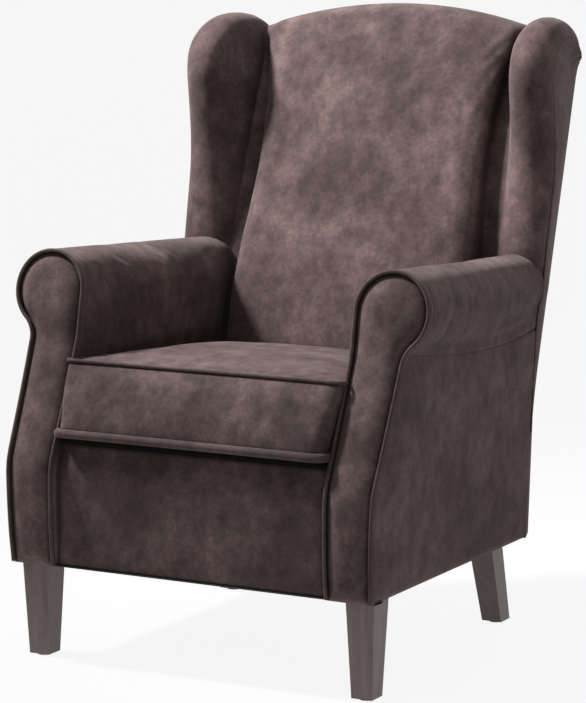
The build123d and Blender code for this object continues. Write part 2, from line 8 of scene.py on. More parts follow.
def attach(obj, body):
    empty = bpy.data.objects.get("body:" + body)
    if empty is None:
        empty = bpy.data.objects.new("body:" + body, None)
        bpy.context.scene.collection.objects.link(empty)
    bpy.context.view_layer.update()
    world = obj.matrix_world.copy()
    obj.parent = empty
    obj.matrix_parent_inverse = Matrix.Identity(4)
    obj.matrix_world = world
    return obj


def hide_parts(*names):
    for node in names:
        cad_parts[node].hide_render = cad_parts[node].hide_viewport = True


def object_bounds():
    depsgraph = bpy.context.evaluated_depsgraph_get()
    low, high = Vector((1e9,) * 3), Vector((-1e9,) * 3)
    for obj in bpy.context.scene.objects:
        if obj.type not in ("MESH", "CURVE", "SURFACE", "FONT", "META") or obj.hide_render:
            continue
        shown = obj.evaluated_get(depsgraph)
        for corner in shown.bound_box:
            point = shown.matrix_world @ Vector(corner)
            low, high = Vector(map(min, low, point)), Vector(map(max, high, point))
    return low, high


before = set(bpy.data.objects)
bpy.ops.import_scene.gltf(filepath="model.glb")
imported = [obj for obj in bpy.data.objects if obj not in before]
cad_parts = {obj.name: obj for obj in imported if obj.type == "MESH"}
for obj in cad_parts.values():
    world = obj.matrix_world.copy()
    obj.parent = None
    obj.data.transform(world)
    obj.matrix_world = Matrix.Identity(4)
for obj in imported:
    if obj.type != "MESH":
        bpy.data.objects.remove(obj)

# Wing chair in dark suede, in metres.
# Places are given as x to the right, d back from the foremost point, and z up from the floor.
cad_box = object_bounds()
front_plane = cad_box[0][1]

# Main sizes
leg_height = 0.162
base_half_width = 0.332
base_depth = 0.595
seat_half_width = 0.249
outside_lean = 0.031
arm_roll_radius = 0.066
arm_top = 0.669
arm_taper = 0.027
arm_slope = 0.05
arm_setback = 0.115
arm_low = 0.306
neck_fillet = 0.045
recline_slope = 0.3134
elbow_height = 0.330
elbow_radius = 0.300
elbow_half = 0.046
pad_rear = 0.066
arm_rear_gap = 0.050
crest_height = 1.060
crest_radius = 0.848
crest_half_width = 0.328
crest_corner = 0.010
crest_drop = 0.016
back_low = 0.335
seat_height = 0.376
seat_slope = 0.07
cushion_height = 0.124
cushion_crown = 0.016
border_front = 0.020
border_top = 0.366

# Cloth and padding
welt_radius = 0.0031
bottom_welt_radius = 0.0074
cloth_thickness = 0.003
border_thickness = 0.004
deck_thickness = 0.006
fold_under = 0.002
edge_fold = 0.003
rear_skin = 0.008
side_rear_gap = 0.003
rear_seam_x = base_half_width - 0.001
pad_voxel = 0.005
cushion_voxel = 0.006
puff_frames = 20
# Reach of the painted shade that darkens the suede in creases
painted_shade_reach = 0.07

# Counts of points along the parts of an arm's outline
inner_points = 24
roll_points = 40
neck_points = 12
outer_points = 20
roll_end = inner_points - 1 + roll_points


def at(x, d, z):
    """Point in the frame of the solids."""
    return Vector((x, d + front_plane, z))


def mix(a, b, share):
    """Value at a share of the way from a to b."""
    return a + (b - a) * share


def smooth_step(low, high, value):
    """Rises smoothly from 0 at low to 1 at high."""
    share = min(1.0, max(0.0, (value - low) / (high - low)))
    return share * share * (3 - 2 * share)


def profile(*knots):
    """Smooth function through pairs of place and value, level beyond the ends."""
    places = [k[0] for k in knots]
    values = [k[1] for k in knots]
    slopes = []
    for i in range(len(knots)):
        before = max(0, i - 1)
        after = min(len(knots) - 1, i + 1)
        slopes.append((values[after] - values[before]) / (places[after] - places[before]))

    def value(place):
        """Value at a place, with the slope carried through each pair."""
        if place <= places[0]:
            return values[0]
        if place >= places[-1]:
            return values[-1]
        i = max(k for k in range(len(places) - 1) if places[k] <= place)
        step = places[i + 1] - places[i]
        t = (place - places[i]) / step
        start = (1 + 2 * t) * (1 - t) ** 2 * values[i] + t * (1 - t) ** 2 * step * slopes[i]
        end = t * t * (3 - 2 * t) * values[i + 1] + t * t * (t - 1) * step * slopes[i + 1]
        return start + end

    return value


def spread(count):
    """Evenly spaced shares from 0 to 1."""
    return [i / (count - 1) for i in range(count)]


# Lines that several pieces share
arm_front = profile(
    (0.162, 0.006), (0.22, 0.001), (0.29, 0.0), (0.33, 0.003), (0.367, 0.018), (0.40, 0.033),
    (0.45, 0.055), (0.50, 0.076), (0.53, 0.0875), (0.58, 0.098), (0.63, 0.108), (0.669, 0.115),
)
arm_seam = profile(
    (0.090, 0.543), (0.124, 0.5386), (0.221, 0.5246), (0.321, 0.515), (0.409, 0.510), (0.488, 0.510),
    (0.545, 0.513), (0.590, 0.519), (0.620, 0.526),
)


def rear_line(z):
    """Rear of the chair in side view, upright below the elbow and reclined above it."""
    if z < elbow_height - elbow_half:
        return base_depth
    if z > elbow_height + elbow_half:
        return base_depth + (z - elbow_height) * recline_slope
    return base_depth + (z - elbow_height + elbow_half) ** 2 / (2 * elbow_radius)


def lean_x(z):
    """Outer face of the leaning outside arm."""
    return base_half_width + outside_lean * (z - leg_height)


def crest_line(x):
    """Top of the arched back."""
    return crest_height - crest_radius + sqrt(crest_radius**2 - x**2)


def roll_at(d):
    """Middle and radius of the arm roll, which falls and tapers towards the rear."""
    radius = arm_roll_radius - arm_taper * (d - arm_setback)
    top = arm_top - arm_slope * (d - arm_setback)
    return seat_half_width + radius, top - radius, radius


def neck_middle(d):
    """Middle of the hollow between the arm roll and the outside arm."""
    x, z, radius = roll_at(d)
    stretch = sqrt(1 + outside_lean**2)
    span = radius + neck_fillet
    run = base_half_width - outside_lean * leg_height + neck_fillet * stretch - x
    half = run * outside_lean - z
    rest = run**2 + z**2 - span**2
    level = (-half - sqrt(half**2 - stretch**2 * rest)) / stretch**2
    return run + outside_lean * level + x, level


def arm_outline(d, inset=0.0, low=leg_height):
    """Front view of the right arm from the inner foot over the roll to the outer foot."""
    x, z, radius = roll_at(d)
    neck_x, neck_z = neck_middle(d)
    turn = atan2(neck_z - z, neck_x - x)
    points = [(seat_half_width + inset, mix(low + inset, z, s)) for s in spread(inner_points)[:-1]]
    for s in spread(roll_points):
        angle = mix(pi, turn, s)
        points.append((x + (radius - inset) * cos(angle), z + (radius - inset) * sin(angle)))
    reach = neck_fillet + inset
    side = pi + outside_lean
    for s in spread(neck_points)[1:]:
        angle = mix(turn + pi, side, s)
        points.append((neck_x + reach * cos(angle), neck_z + reach * sin(angle)))
    end_x, end_z = points[-1]
    foot_x = base_half_width - inset
    for s in spread(outer_points)[1:]:
        points.append((mix(end_x, foot_x, s), mix(end_z, low + inset, s)))
    return points


def resample(points, count):
    """Evenly spaced points along a line."""
    lengths = [0.0]
    for (ax, az), (bx, bz) in zip(points, points[1:]):
        lengths.append(lengths[-1] + hypot(bx - ax, bz - az))
    made = []
    k = 0
    for share in spread(count):
        goal = share * lengths[-1]
        while k < len(points) - 2 and lengths[k + 1] < goal:
            k += 1
        step = lengths[k + 1] - lengths[k]
        part = (goal - lengths[k]) / step if step else 0.0
        ax, az = points[k]
        bx, bz = points[k + 1]
        made.append((mix(ax, bx, part), mix(az, bz, part)))
    return made


# Making meshes

merge_distance = 1e-6


def new_piece(name, points, faces):
    """Mesh from points and faces, with equal points merged and the faces turned one way."""
    mesh = bpy.data.meshes.new(name)
    mesh.from_pydata([tuple(p) for p in points], [], faces)
    builder = bmesh.new()
    builder.from_mesh(mesh)
    bmesh.ops.remove_doubles(builder, verts=builder.verts, dist=merge_distance)
    bmesh.ops.recalc_face_normals(builder, faces=builder.faces)
    builder.to_mesh(mesh)
    builder.free()
    piece = bpy.data.objects.new(name, mesh)
    bpy.context.scene.collection.objects.link(piece)
    shade_smooth(piece)
    return piece


def shade_smooth(piece):
    """Shade all faces of a piece as one smooth surface."""
    piece.data.polygons.foreach_set("use_smooth", [True] * len(piece.data.polygons))


def loft(name, loops):
    """Closed form through closed loops of equal count, with both ends filled."""
    count = len(loops[0])
    points = [p for loop in loops for p in loop]
    faces = []
    for i in range(len(loops) - 1):
        for j in range(count):
            k = (j + 1) % count
            faces.append((i * count + j, i * count + k, (i + 1) * count + k, (i + 1) * count + j))
    faces.append(tuple(range(count)))
    faces.append(tuple((len(loops) - 1) * count + j for j in range(count)))
    return new_piece(name, points, faces)


def skin(name, rows):
    """Open sheet through rows of equal count."""
    count = len(rows[0])
    points = [p for row in rows for p in row]
    faces = []
    for i in range(len(rows) - 1):
        for j in range(count - 1):
            a = i * count + j
            faces.append((a, a + 1, a + count + 1, a + count))
    return new_piece(name, points, faces)


def bake(piece):
    """Put the result of all modifiers into the mesh."""
    graph = bpy.context.evaluated_depsgraph_get()
    made = bpy.data.meshes.new_from_object(piece.evaluated_get(graph))
    old = piece.data
    name = old.name
    piece.modifiers.clear()
    piece.data = made
    bpy.data.meshes.remove(old)
    made.name = name
    shade_smooth(piece)


def thicken(piece, thickness):
    """Give a sheet a rear side."""
    shell = piece.modifiers.new("shell", "SOLIDIFY")
    shell.thickness = thickness
    shell.offset = 1.0
    bake(piece)


def even_out(piece, voxel, rounds):
    """Remesh a form into even squares and take out the steps."""
    remesh = piece.modifiers.new("squares", "REMESH")
    remesh.mode = "VOXEL"
    remesh.voxel_size = voxel
    relax = piece.modifiers.new("relax", "SMOOTH")
    relax.factor = 0.5
    relax.iterations = rounds
    bake(piece)


def puff(piece, limit, held, pressure=4.0, slack=0.0):
    """Blow the cover up like stuffed fabric; held gives the points that seams keep in place."""
    rest = [v.co.copy() for v in piece.data.vertices]
    hold = [held(p) for p in rest]
    seams = piece.vertex_groups.new(name="seams")
    for i, weight in enumerate(hold):
        seams.add([i], weight, "REPLACE")
    cloth = piece.modifiers.new("cover", "CLOTH")
    settings = cloth.settings
    settings.quality = 4
    settings.mass = 0.3
    settings.tension_stiffness = 15
    settings.compression_stiffness = 12
    settings.shear_stiffness = 5
    settings.bending_stiffness = 0.4
    settings.shrink_min = -slack
    settings.use_pressure = True
    settings.uniform_pressure_force = pressure
    settings.vertex_group_mass = "seams"
    settings.effector_weights.gravity = 0
    cloth.collision_settings.use_collision = False
    cloth.point_cache.frame_end = puff_frames
    scene = bpy.context.scene
    for number in range(1, puff_frames + 1):
        scene.frame_set(number)
    graph = bpy.context.evaluated_depsgraph_get()
    moved = [v.co.copy() for v in piece.evaluated_get(graph).data.vertices]
    piece.modifiers.clear()
    piece.vertex_groups.clear()
    scene.frame_set(1)
    for vertex, start, end, weight in zip(piece.data.vertices, rest, moved, hold):
        step = (end - start) * (1 - weight)
        if step.length > limit:
            step = step.normalized() * limit
        vertex.co = start + step


def settle(piece, rounds=4):
    """Last smoothing and one subdivision."""
    relax = piece.modifiers.new("relax", "SMOOTH")
    relax.factor = 0.5
    relax.iterations = rounds
    finer = piece.modifiers.new("finer", "SUBSURF")
    finer.levels = 1
    finer.render_levels = 1
    bake(piece)


def tube(name, points, radius, closed=False):
    """Piping along a line."""
    curve = bpy.data.curves.new(name, "CURVE")
    curve.dimensions = "3D"
    curve.bevel_depth = radius
    curve.bevel_resolution = 4
    curve.use_fill_caps = True
    line = curve.splines.new("POLY")
    line.points.add(len(points) - 1)
    for place, point in zip(line.points, points):
        place.co = (*point, 1)
    line.use_cyclic_u = closed
    guide = bpy.data.objects.new(name, curve)
    bpy.context.scene.collection.objects.link(guide)
    graph = bpy.context.evaluated_depsgraph_get()
    mesh = bpy.data.meshes.new_from_object(guide.evaluated_get(graph))
    bpy.data.objects.remove(guide)
    bpy.data.curves.remove(curve)
    mesh.name = name
    piece = bpy.data.objects.new(name, mesh)
    bpy.context.scene.collection.objects.link(piece)
    shade_smooth(piece)
    return piece


def join(piece, other):
    """Two meshes made into one piece."""
    mesh = bmesh.new()
    mesh.from_mesh(piece.data)
    mesh.from_mesh(other.data)
    mesh.to_mesh(piece.data)
    mesh.free()
    bpy.data.objects.remove(other)
    shade_smooth(piece)
    return piece


def other_side(piece, name):
    """The same piece mirrored to the left side."""
    mesh = piece.data.copy()
    mesh.name = name
    for vertex in mesh.vertices:
        vertex.co.x = -vertex.co.x
    mesh.flip_normals()
    twin = bpy.data.objects.new(name, mesh)
    bpy.context.scene.collection.objects.link(twin)
    return twin


def dress(piece, body, nodes, material):
    """Say what a piece stands for, what it moves with and what it is made of."""
    piece.data.materials.clear()
    piece.data.materials.append(material)
    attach(piece, body)
    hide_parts(*nodes)


def dress_pair(piece, node, material):
    """The right piece and its mirror image on the left."""
    twin = other_side(piece, "left_" + node + "_cover")
    dress(piece, "chair", ["right_" + node], material)
    dress(twin, "chair", ["left_" + node], material)


# Materials

black = (0.0, 0.0, 0.0)
white = (1.0, 1.0, 1.0)
rust_tint = (0.62, 0.52, 0.45)


def grey(level):
    """Neutral grey."""
    return (level, level, level)


def warm_grey(level):
    """Grey with a slight lean to red."""
    return (level, level - 0.01, level - 0.01)


class Nodes:
    """Short way to write a material's nodes."""

    def __init__(self, name):
        self.material = bpy.data.materials.new(name)
        self.material.use_nodes = True
        self.tree = self.material.node_tree
        self.shader = self.tree.nodes["Principled BSDF"]
        self.place = self.add("ShaderNodeTexCoord").outputs["Object"]

    def add(self, kind, **inputs):
        """New node with values for its inputs."""
        node = self.tree.nodes.new(kind)
        for key, value in inputs.items():
            node.inputs[key.replace("_", " ")].default_value = value
        return node

    def link(self, source, target):
        """Lead one node's output to another's input."""
        self.tree.links.new(source, target)

    def noise(self, scale, detail=4.0, stretch=(1, 1, 1)):
        """Cloudy pattern fixed to the object."""
        mapping = self.add("ShaderNodeMapping")
        mapping.inputs["Scale"].default_value = stretch
        self.link(self.place, mapping.inputs["Vector"])
        cloud = self.add("ShaderNodeTexNoise", Scale=scale, Detail=detail, Roughness=0.6)
        self.link(mapping.outputs["Vector"], cloud.inputs["Vector"])
        return cloud.outputs["Fac"]

    def ramp(self, source, *stops):
        """Colours by value, from pairs of place and colour."""
        node = self.add("ShaderNodeValToRGB")
        elements = node.color_ramp.elements
        while len(elements) < len(stops):
            elements.new(0.5)
        for element, (place, colour) in zip(elements, stops):
            element.position = place
            element.color = (*colour, 1)
        self.link(source, node.inputs["Fac"])
        return node.outputs["Color"]

    def blend(self, kind, share, first, second):
        """Two colours mixed; the share and each colour are a plain value or another node's output."""
        node = self.tree.nodes.new("ShaderNodeMix")
        node.data_type = "RGBA"
        node.blend_type = kind
        if isinstance(share, float):
            node.inputs["Factor"].default_value = share
        else:
            self.link(share, node.inputs["Factor"])
        for source, key in ((first, "A"), (second, "B")):
            socket = [s for s in node.inputs if s.name == key and s.type == "RGBA"][0]
            if isinstance(source, tuple):
                socket.default_value = (*source, 1)
            else:
                self.link(source, socket)
        return [s for s in node.outputs if s.type == "RGBA"][0]

    def between(self, source, low, high):
        """Value from 0 to 1 brought to a range."""
        node = self.add("ShaderNodeMapRange")
        node.inputs["To Min"].default_value = low
        node.inputs["To Max"].default_value = high
        self.link(source, node.inputs["Value"])
        return node.outputs["Result"]

    def bump(self, source, strength, distance, under=None):
        """Fine relief, on top of another relief where one is given."""
        node = self.add("ShaderNodeBump", Strength=strength, Distance=distance)
        self.link(source, node.inputs["Height"])
        if under is not None:
            self.link(under, node.inputs["Normal"])
        return node.outputs["Normal"]

    def finish(self, colour, roughness, normal=None):
        """Join the results to the shader."""
        self.link(colour, self.shader.inputs["Base Color"])
        self.link(roughness, self.shader.inputs["Roughness"])
        if normal is not None:
            self.link(normal, self.shader.inputs["Normal"])
        return self.material


def suede(name, dark, light):
    """Brushed suede: broad patches, rubbed marks and a short nap, worn at edges, with painted shade
    darkening its creases.
    """
    n = Nodes(name)
    broad = n.noise(8.0, 3.0)
    rubbed = n.noise(38.0, 12.0, (1, 1, 0.8))
    flecks = n.noise(150.0, 6.0)
    nap = n.noise(420.0, 3.0)
    middle = tuple((a + b) / 2 for a, b in zip(dark, light))
    colour = n.ramp(broad, (0.37, dark), (0.5, middle), (0.63, light))
    marks = n.ramp(rubbed, (0.34, warm_grey(0.62)), (0.5, white), (0.68, warm_grey(1.46)))
    colour = n.blend("MULTIPLY", 0.85, colour, marks)
    specks = n.ramp(flecks, (0.36, warm_grey(0.80)), (0.5, white), (0.64, warm_grey(1.22)))
    colour = n.blend("MULTIPLY", 0.75, colour, specks)
    fibres = n.ramp(nap, (0.3, grey(0.82)), (0.7, grey(1.14)))
    colour = n.blend("MULTIPLY", 0.7, colour, fibres)
    edges = n.add("ShaderNodeNewGeometry").outputs["Pointiness"]
    worn = n.ramp(edges, (0.5, black), (0.58, white))
    colour = n.blend("MIX", n.between(worn, 0.0, 0.3), colour, tuple(1.5 * c for c in light))
    # Painted shade: the colour is darkened wherever ambient occlusion finds creases, grooves and
    # recesses
    depth = n.add("ShaderNodeAmbientOcclusion", Distance=painted_shade_reach)
    painted_crease_shade = n.ramp(depth.outputs["AO"], (0.30, warm_grey(0.26)), (0.82, white))
    colour = n.blend("MULTIPLY", 1.0, colour, painted_crease_shade)
    roughness = n.between(rubbed, 0.78, 0.95)
    normal = n.bump(rubbed, 0.18, 0.004)
    normal = n.bump(nap, 0.22, 0.0012, normal)
    n.shader.inputs["Sheen Weight"].default_value = 0.22
    n.shader.inputs["Sheen Roughness"].default_value = 0.45
    n.shader.inputs["Sheen Tint"].default_value = (0.62, 0.54, 0.52, 1)
    n.shader.inputs["Specular IOR Level"].default_value = 0.18
    return n.finish(colour, roughness, normal)


def stained_wood(name, dark, light, grain, roughness):
    """Wood with grain along the height of the chair."""
    n = Nodes(name)
    lines = n.noise(grain, 6.0, (1, 1, 0.06))
    pores = n.noise(grain * 6, 3.0, (1, 1, 0.04))
    colour = n.ramp(lines, (0.3, dark), (0.7, light))
    specks = n.ramp(pores, (0.32, (0.55, 0.5, 0.48)), (0.46, white))
    colour = n.blend("MULTIPLY", 0.6, colour, specks)
    normal = n.bump(pores, 0.12, 0.0008)
    return n.finish(colour, n.between(lines, roughness - 0.07, roughness + 0.1), normal)


def woven(name, dark, light, pitch):
    """Plain woven cloth."""
    n = Nodes(name)
    threads = n.add("ShaderNodeTexWave", Scale=1 / pitch, Distortion=0.4)
    threads.bands_direction = "X"
    n.link(n.place, threads.inputs["Vector"])
    across = n.add("ShaderNodeTexWave", Scale=1 / pitch, Distortion=0.4)
    across.bands_direction = "Y"
    n.link(n.place, across.inputs["Vector"])
    weave = n.blend("MULTIPLY", 1.0, threads.outputs["Color"], across.outputs["Color"])
    cloudy = n.blend("MIX", n.noise(22.0), dark, light)
    colour = n.blend("MULTIPLY", 0.35, cloudy, weave)
    return n.finish(colour, n.between(n.noise(60.0), 0.8, 0.95), n.bump(weave, 0.25, 0.0006))


def metal(name, colour):
    """Drawn steel with faint rust-brown patches."""
    n = Nodes(name)
    n.shader.inputs["Metallic"].default_value = 1.0
    patches = n.noise(70.0, 5.0)
    rust = tuple(c * s for c, s in zip(colour, rust_tint))
    tone = n.ramp(patches, (0.35, colour), (0.72, rust))
    return n.finish(tone, n.between(patches, 0.28, 0.5), n.bump(patches, 0.08, 0.0004))


def moulded(name, colour):
    """Matt moulded plastic or foam."""
    n = Nodes(name)
    grain = n.noise(300.0, 4.0)
    tone = n.ramp(grain, (0.3, tuple(c * 0.8 for c in colour)), (0.7, colour))
    return n.finish(tone, n.between(grain, 0.55, 0.75), n.bump(grain, 0.2, 0.0005))


cover = suede("suede", (0.070, 0.046, 0.045), (0.138, 0.094, 0.091))
# Darker copy of the cover suede for the piping and its flange: painted shade standing in for the shadow
# along the seams
shaded_piping_suede = suede("suede_piping", (0.050, 0.033, 0.032), (0.100, 0.068, 0.066))
leg_wood = stained_wood("leg_wood", (0.100, 0.068, 0.065), (0.195, 0.138, 0.132), 60.0, 0.4)
frame_wood = stained_wood("frame_wood", (0.42, 0.27, 0.14), (0.62, 0.44, 0.26), 40.0, 0.6)
hardboard = stained_wood("hardboard", (0.20, 0.12, 0.06), (0.28, 0.18, 0.10), 90.0, 0.7)
# Painted shade: the deck cloth is made near black to stand for the shadow in the gap under the cushion
deck_cloth = woven("deck_cloth", (0.008, 0.006, 0.006), (0.016, 0.013, 0.012), 0.0016)
dust_cloth = woven("dust_cloth", (0.012, 0.012, 0.013), (0.026, 0.026, 0.028), 0.0012)
webbing = woven("webbing", (0.16, 0.12, 0.07), (0.30, 0.23, 0.14), 0.003)
steel = metal("steel", (0.42, 0.42, 0.43))
glide_plastic = moulded("glide_plastic", (0.03, 0.028, 0.027))


# Arms

facing_inset = 0.0065
facing_edge = 0.010
facing_dome = 0.011
dome_reach = 0.030
dome_power = 2.2
facing_fold = 0.034
wall_front = 0.011
wall_start = 0.012
wall_inset = 0.0005
facing_depth = 0.060
facing_lip = 0.010
lip_dive = 0.003
flange_thickness = 0.001
# Distance behind the arm's front and inside its outline, from the piping to the flange's inner edge
flange_lines = [(0.0045, 0.003), (0.010, 0.0018), (0.020, 0.0045)]
arm_rear = 0.61
arm_pad_setback = 0.009
arm_pad_inset = 0.001
arm_middle_x = 0.27
lining_gap = 0.024
front_tuck = 0.03
tuck_reach = 0.02
side_setback = 0.008
side_overlap = 0.006
side_sink = 0.002
side_fill = 0.004
side_seam_from = 0.09
seam_cover = 0.003


def arm_facing():
    """Scroll-shaped front panel, domed inside its piping and cut to the swept front."""
    outline = arm_outline(arm_setback, facing_inset, leg_height - fold_under - facing_inset)
    edge = outline + [outline[0]]

    def to_edge(x, z):
        """Distance from a point to the edge of the panel."""
        least = 1.0
        for (ax, az), (bx, bz) in zip(edge, edge[1:]):
            span = (bx - ax) ** 2 + (bz - az) ** 2
            if span == 0:
                continue
            share = min(1.0, max(0.0, ((x - ax) * (bx - ax) + (z - az) * (bz - az)) / span))
            least = min(least, hypot(x - mix(ax, bx, share), z - mix(az, bz, share)))
        return least

    top = max(range(len(outline)), key=lambda i: outline[i][1])
    inner = outline[: top + 1]
    outer = outline[top:][::-1]
    low = outline[0][1]
    high = outline[top][1]
    heights = [mix(low, high, sin(s * pi / 2)) for s in spread(110)]
    rows = []
    for z in heights:
        left = across_at(inner, z)
        right = across_at(outer, z)
        row = []
        for s in spread(28):
            x = mix(left, right, (1 - cos(pi * s)) / 2)
            inside = to_edge(x, z)
            dome = facing_dome * (1 - (1 - min(1.0, inside / dome_reach)) ** dome_power)
            row.append(at(x, arm_front(z) + facing_edge - dome, z))
        above_border = smooth_step(0.355, 0.375, z)
        inner_wall = mix(facing_depth, facing_lip, above_border)
        dive = lip_dive * above_border
        spare = facing_inset - wall_inset
        near = arm_front(z) + wall_front
        start = arm_front(z) + wall_start
        row.insert(0, at(left - spare, near, z))
        row.insert(0, at(left - spare + dive, start + inner_wall, z))
        row.append(at(right + spare, near, z))
        row.append(at(right + spare - lip_dive, start + facing_lip, z))
        rows.append(row)
    turned = rows[0][1].y + facing_fold
    under = [Vector((p.x, max(p.y, turned), p.z)) for p in rows[0]]
    panel = skin("right_arm_facing_cover", [under] + rows)
    thicken(panel, -cloth_thickness)
    return panel


def across_at(line, z):
    """x on a rising line of points at a height."""
    for (ax, az), (bx, bz) in zip(line, line[1:]):
        if az <= z <= bz and bz > az:
            return mix(ax, bx, (z - az) / (bz - az))
    return line[-1][0] if z > line[-1][1] else line[0][0]


def facing_piping():
    """Piping round the facing, from foot to foot, with the flange that is sewn in behind it."""

    def line(setback, inset):
        """Line along the arm's outline, behind its front and inside its edge."""
        outline = arm_outline(arm_setback, inset, leg_height - fold_under)
        return [at(x, arm_front(z) + setback, z) for x, z in outline]

    welt = tube("right_facing_welt_cover", line(*flange_lines[0]), welt_radius)
    flange = skin("right_facing_flange", [line(*place) for place in flange_lines])
    thicken(flange, flange_thickness)
    return join(welt, flange)


def arm_section(d):
    """Inside arm, roll and apron at a distance from the front, as a closed loop."""
    outline = arm_outline(d, arm_pad_inset, arm_low - arm_pad_inset)
    over = outline[:roll_end]
    seam = arm_seam(d)
    apron = [p for p in outline[roll_end - 1:] if p[1] > seam]
    face = over + resample(apron + [(lean_x(seam), seam)], 16)[1:]
    end_x, end_z = face[-1]
    wall_x = seat_half_width + lining_gap
    hidden = [
        (end_x - 0.006, end_z - 0.003),
        (end_x - 0.016, end_z),
        (wall_x + 0.016, end_z),
        (wall_x + 0.004, end_z - 0.01),
        (wall_x, end_z - 0.04),
        (wall_x, mix(arm_low, end_z, 0.5)),
        (wall_x, arm_low),
    ]
    return face + hidden


def arm_pad():
    """Inside arm and roll in one cover, from the facing to the back."""
    shares = [0.0, 0.008, 0.02, 0.04, 0.07] + [mix(0.1, 1.0, s) for s in spread(40)]
    loops = []
    for share in shares:
        section = arm_section(mix(arm_setback, arm_rear, share))
        middle_x = sum(p[0] for p in section) / len(section)
        tuck = front_tuck * (1 - smooth_step(0.0, tuck_reach, share))
        loop = []
        for x, z in section:
            d = mix(arm_front(z) + arm_pad_setback, rear_line(z) - arm_rear_gap, share)
            loop.append(at(mix(x, middle_x, tuck), d, z))
        loops.append(loop)
    pad = loft("right_arm_pad_cover", loops)
    even_out(pad, pad_voxel, 4)

    def held(p):
        """Share of a point's place that the seams keep."""
        d = p.y - front_plane
        front = 1 - smooth_step(0.012, 0.05, d - arm_front(p.z))
        rear = smooth_step(-0.10, -0.07, d - rear_line(p.z))
        low = 1 - smooth_step(0.40, 0.50, p.z) if p.x < arm_middle_x else 0.0
        under = 1 - smooth_step(0.0, 0.03, p.z - arm_seam(d)) if p.x > arm_middle_x else 0.0
        return max(front, rear, low, under)

    puff(pad, limit=0.005, held=held, pressure=4.0, slack=0.002)
    settle(pad)
    return pad


def outside_arm():
    """Leaning panel under the roll, slightly filled, folded in at its edges."""
    rows = []
    for v in spread(50):
        row = []
        for u in spread(60):
            seam = arm_seam(mix(side_seam_from, base_depth, u)) + seam_cover
            z = mix(leg_height - fold_under, seam, v)
            d = mix(arm_front(z) + side_setback, min(base_depth, rear_line(z)) + side_overlap, u)
            fill = (1 - abs(2 * u - 1) ** 6) * (1 - abs(2 * v - 1) ** 6)
            fold = edge_fold * (1 - smooth_step(0.0, 0.02, v)) + edge_fold * smooth_step(0.98, 1.0, v)
            row.append(at(lean_x(z) - side_sink + side_fill * fill - fold, d, z))
        rows.append(row)
    panel = skin("right_outside_arm_cover", rows)
    thicken(panel, -cloth_thickness)
    return panel


# Wings

# Evenly spaced stations, from the arm up the front edge and over the top to the rear
wing_edge_points = [
    (0.588, 0.575), (0.588, 0.640), (0.600, 0.750), (0.603, 0.820), (0.596, 0.900), (0.592, 0.945),
    (0.600, 0.985), (0.625, 1.015), (0.665, 1.035), (0.706, 1.041), (0.750, 1.037), (0.786, 1.020),
    (0.801, 0.992), (0.788, 0.945),
]
wing_root_heights = [
    0.575, 0.640, 0.750, 0.820, 0.885, 0.915, 0.935, 0.948, 0.955, 0.958, 0.956, 0.950, 0.942, 0.930,
]
wing_half_thickness = [
    0.040, 0.040, 0.040, 0.040, 0.040, 0.040, 0.040, 0.040, 0.041, 0.042, 0.043, 0.042, 0.041, 0.036,
]
wing_middles = [
    0.315, 0.315, 0.315, 0.315, 0.315, 0.315, 0.315, 0.313, 0.311, 0.307, 0.302, 0.298, 0.294, 0.291,
]
wing_seam_x = [
    0.252, 0.251, 0.250, 0.250, 0.250, 0.250, 0.250, 0.250, 0.250, 0.250, 0.250, 0.250, 0.250, 0.252,
]
wing_corner_heights = [
    0.575, 0.640, 0.750, 0.820, 0.880, 0.908, 0.924, 0.935, 0.940, 0.946, 0.952, 0.958, 0.963, 0.966,
]


def along(values):
    """Smooth function of a share from 0 to 1 through evenly spaced values."""
    last = len(values) - 1
    return profile(*[(i / last, v) for i, v in enumerate(values)])


wing_edge_d = along([p[0] for p in wing_edge_points])
wing_edge_z = along([p[1] for p in wing_edge_points])
wing_root_z = along(wing_root_heights)
wing_half = along(wing_half_thickness)
wing_centre = along(wing_middles)
wing_inner = along(wing_seam_x)
wing_corner_z = along(wing_corner_heights)
wing_panel_end = 0.87
wing_root_gap = pad_rear + 0.001
nose_share = 0.62
wing_outer_x = base_half_width - 0.004
wing_sink = 0.002
wing_fill = 0.004
panel_overlap = 0.004
gather_depth = 0.0016
gather_waves = 31
strip_heights = (0.335, 0.37, 0.41, 0.45, 0.49, 0.53, 0.56)
strip_fill = 0.002
strip_width = 0.001
roll_side_from = 50


def wing_root(t):
    """Where the wing joins the back, in side view."""
    z = wing_root_z(t)
    return Vector((rear_line(z) - mix(wing_root_gap, rear_skin, smooth_step(0.55, 1.0, t)), z))


def wing_nose(t):
    """Place and depth of the rounded front of the wing, square to its edge."""
    edge = Vector((wing_edge_d(t), wing_edge_z(t)))
    root = wing_root(t)
    inward = (root - edge).normalized()
    depth = min(wing_half(t), nose_share * (root - edge).length)
    return edge + inward * depth, inward, depth


def wing_section(t):
    """Loop from the inner seam round the front edge to the outer seam and back."""
    middle, inward, depth = wing_nose(t)
    half = wing_half(t)
    root = wing_root(t)
    reach = Vector(((wing_centre(t) - wing_inner(t)) / half, -(root - middle).length / depth))
    first = atan2(reach.y, reach.x) + acos(min(1.0, 1 / reach.length))
    nose = []
    for s in spread(24):
        angle = mix(first, pi, s)
        place = middle - inward * depth * sin(angle)
        nose.append(at(wing_centre(t) - half * cos(angle), place.x, place.y))
    seam = at(wing_inner(t), root.x, root.y)
    loop = [seam.lerp(nose[0], s) for s in spread(12)[:-1]] + nose
    for s in spread(10)[1:]:
        place = middle.lerp(root, s)
        x = mix(wing_centre(t) + half, wing_outer_x, s) - wing_sink
        loop.append(at(x, place.x, place.y))
    for s in spread(8)[1:-1]:
        loop.append(at(mix(wing_outer_x, wing_inner(t), s), root.x, root.y))
    return loop


